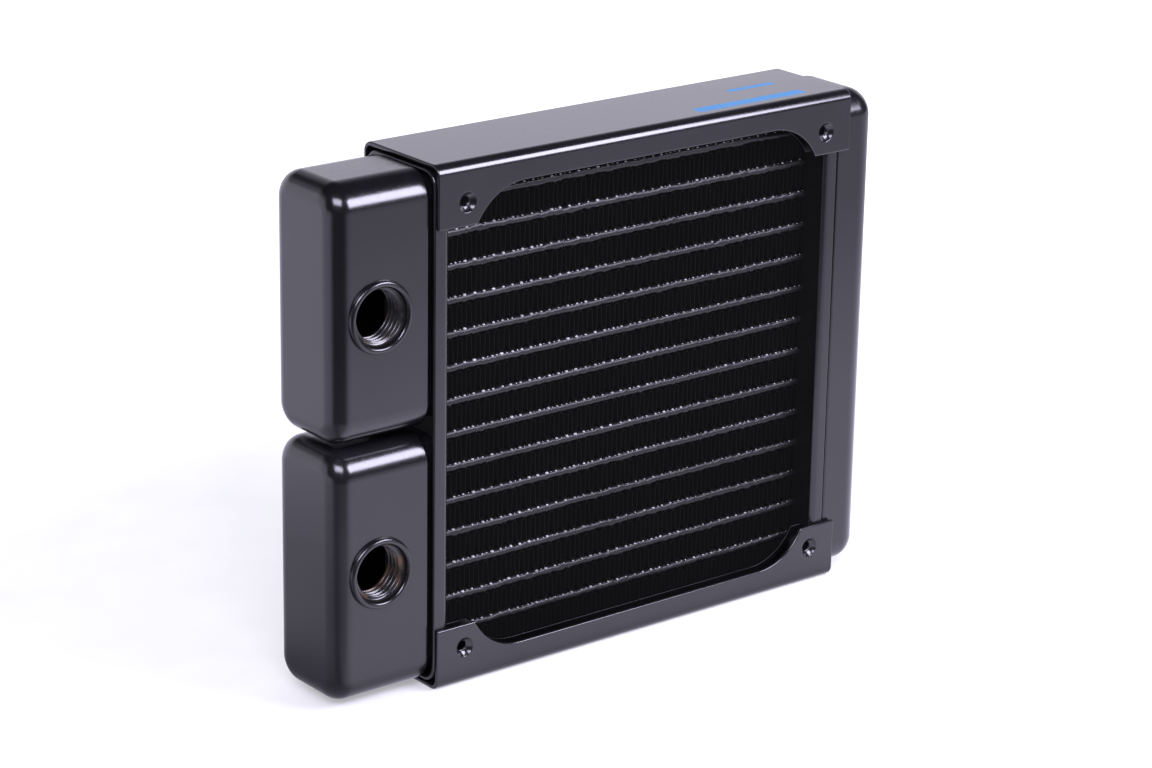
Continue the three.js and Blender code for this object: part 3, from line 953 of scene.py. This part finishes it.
def link(thing):
    """Puts a new object in the scene."""
    bpy.context.scene.collection.objects.link(thing)
    return thing


def soft_box(name, azimuth, elevation, distance, width, height, radiance):
    """An area light that reflections see with the given radiance. It faces the tanks' top corner."""
    light = bpy.data.lights.new(name, "AREA")
    light.shape = "RECTANGLE"
    light.size, light.size_y = width, height
    light.energy = radiance * math.pi * width * height
    light.color = TINT
    lamp = link(bpy.data.objects.new(name, light))
    lamp.visible_camera = False
    aimed(lamp, TANK_TOP + direction(azimuth, elevation) * distance, TANK_TOP)


def stage_sheet(name, points, faces, material):
    """A floor or backdrop, which isn't part of the object."""
    mesh = bpy.data.meshes.new(name)
    mesh.from_pydata(points, [], faces)
    mesh.materials.append(material)
    sheet = link(bpy.data.objects.new(name, mesh))
    return sheet


def only_reflected(sheet):
    """Leaves a sheet to be seen in reflections only."""
    sheet.visible_camera = False
    sheet.visible_diffuse = False
    sheet.visible_shadow = False


def glow(name, strength=None, colour=TINT):
    """An emission material. Without a strength it reads the mesh's radiance attribute."""
    material = bpy.data.materials.new(name)
    material.use_nodes = True
    tree = material.node_tree
    tree.nodes.clear()
    emission = tree.nodes.new("ShaderNodeEmission")
    emission.inputs["Color"].default_value = (*colour, 1.0)
    if strength is None:
        radiance = tree.nodes.new("ShaderNodeAttribute")
        radiance.attribute_name = "radiance"
        tree.links.new(radiance.outputs["Fac"], emission.inputs["Strength"])
    else:
        emission.inputs["Strength"].default_value = strength
    output = tree.nodes.new("ShaderNodeOutputMaterial")
    tree.links.new(emission.outputs["Emission"], output.inputs["Surface"])
    return material


def smooth(value, start, end):
    """Goes smoothly from 0 to 1 as the value goes from start to end."""
    share = min(1.0, max(0.0, (value - start) / (end - start)))
    return share * share * (3 - 2 * share)


def floor_light(x, y):
    """How bright the floor looks in the paint: painted shadow under the object and at its left, and dark
    in front of its left end.
    """
    low, high = CAD_BOX
    away = math.hypot(max(low.x - x, 0.0, x - high.x), max(low.y - y, 0.0, y - high.y))
    corner_x, corner_y = x - low.x, y - low.y
    reach = math.hypot(corner_x, corner_y)
    azimuth = math.degrees(math.atan2(corner_x, -corner_y))
    side = smooth(azimuth, -60, -20) if azimuth < 90 else 1 - smooth(azimuth, 120, 180)
    # Painted shadow: darker near the object on its left side.
    left = LEFT_NEAR + (LEFT_FAR - LEFT_NEAR) * smooth(away, 0.06, 0.2)
    # A painted pool of light: brighter near the object on its right side.
    right = RIGHT_NEAR + (RIGHT_FAR - RIGHT_NEAR) * smooth(away, 0.12, 0.36)
    # Painted contact shadow where the object touches the floor.
    contact_shadow = CONTACT_LIGHT + (1 - CONTACT_LIGHT) * smooth(away, -0.004, 0.044 - 0.032 * side)
    wedge = smooth(azimuth, -92, -66) * (1 - smooth(azimuth, -10, 20))
    dark = DARK_NEAR + (DARK_FAR - DARK_NEAR) * smooth(reach, 0.08, 0.2)
    return (left + (right - left) * side) * contact_shadow * (1 - wedge * dark)


def reflected_floor():
    """The floor that the paint reflects: a grid, finer near the object, with its own brightness."""
    count, reach, depth = 80, 2.2, 0.0005
    steps = [reach * (2 * i / count - 1) * abs(2 * i / count - 1) for i in range(count + 1)]
    points = [(x, y, -depth) for y in steps for x in steps]
    row = count + 1
    starts = [j * row + i for j in range(count) for i in range(count)]
    faces = [(start, start + 1, start + row + 1, start + row) for start in starts]
    sheet = stage_sheet("reflected_floor", points, faces, glow("reflected_floor_glow"))
    radiance = sheet.data.attributes.new("radiance", "FLOAT", "POINT")
    radiance.data.foreach_set("value", [floor_light(x, y) for x, y, _ in points])
    only_reflected(sheet)


def backdrop(name, start, end, bottom, top, strength, distance=BACKDROP_DISTANCE):
    """An upright curved sheet round the object, between two azimuths and two heights."""
    count = 24
    places = [direction(start + (end - start) * i / count, 0) * distance for i in range(count + 1)]
    points = [(p.x, p.y, z) for z in (bottom, top) for p in places]
    faces = [(i, i + 1, i + count + 2, i + count + 1) for i in range(count)]
    only_reflected(stage_sheet(name, points, faces, glow(name + "_glow", strength, BACK_TINT)))


def floor_material():
    """Pale paper that glows a little, so that shadows on it stay faint."""
    material, tree, shader = nodes_of("floor_paper")
    place = texture_place(tree)
    fleck = between(tree, noise_value(tree, place, 60.0, 2.0), 0.0, 1.0)
    tree.links.new(mix_colour(tree, fleck, *FLOOR_PAPER), shader.inputs["Base Color"])
    shader.inputs["Roughness"].default_value = 0.6
    shader.inputs["Specular IOR Level"].default_value = 0.1
    shader.inputs["Emission Color"].default_value = FLOOR_TINT
    away = tree.nodes.new("ShaderNodeVectorMath")
    away.operation = "LENGTH"
    tree.links.new(place, away.inputs[0])
    distance = away.outputs["Value"]
    glow_strength = between(tree, distance, GLOW_NEAR, GLOW_FAR, GLOW_START, GLOW_END)
    tree.links.new(glow_strength, shader.inputs["Emission Strength"])
    return material


floor_corners = [(x * FLOOR_HALF, y * FLOOR_HALF, 0) for x, y in ((-1, -1), (1, -1), (1, 1), (-1, 1))]
floor = stage_sheet("floor", floor_corners, [(0, 1, 2, 3)], floor_material())
floor.visible_glossy = False
reflected_floor()

world = bpy.data.worlds.new("studio")
world.use_nodes = True
world.node_tree.nodes["Background"].inputs["Color"].default_value = (1.0, 1.0, 1.0, 1.0)
world.node_tree.nodes["Background"].inputs["Strength"].default_value = SURROUNDING_LIGHT
world.cycles_visibility.glossy = False
bpy.context.scene.world = world

soft_box("right_box", 42.3, 24, distance=0.43, width=0.25, height=0.185, radiance=23)
soft_box("left_box", -41, 39, distance=1.3, width=0.95, height=0.5, radiance=15)

# The backdrops fade upwards, as (name, bottom, top, strength).
for name, bottom, top, strength in (
    ("left_backdrop", BACKDROP_FOOT, 0.62, 1.55),
    ("left_backdrop_top", 0.62, 1.0, 0.6),
):
    backdrop(name, *LEFT_SPAN, bottom, top, strength)
for name, bottom, top, strength in (
    ("back_backdrop", BACKDROP_FOOT, 0.8, 1.38),
    ("back_backdrop_middle", 0.8, 1.15, 0.75),
    ("back_backdrop_top", 1.15, 1.6, 0.25),
):
    backdrop(name, *BACK_SPAN, bottom, top, strength)
backdrop("dim_studio", 0, 360, BACKDROP_FOOT, 2.0, 0.06, distance=3.0)

camera = link(bpy.data.objects.new("camera", bpy.data.cameras.new("camera")))
camera.data.sensor_width = SENSOR_WIDTH
camera.data.lens = FOCAL_LENGTH
camera.data.clip_start = CLIP_START
towards_camera = direction(CAMERA_AZIMUTH, CAMERA_ELEVATION)
aimed(camera, CAMERA_TARGET + towards_camera * CAMERA_DISTANCE, CAMERA_TARGET)
roll = Matrix.Rotation(math.radians(CAMERA_ROLL), 4, "Z").to_quaternion()
camera.rotation_quaternion = camera.rotation_quaternion @ roll
bpy.context.scene.camera = camera
bpy.context.scene.view_settings.view_transform = "Standard"
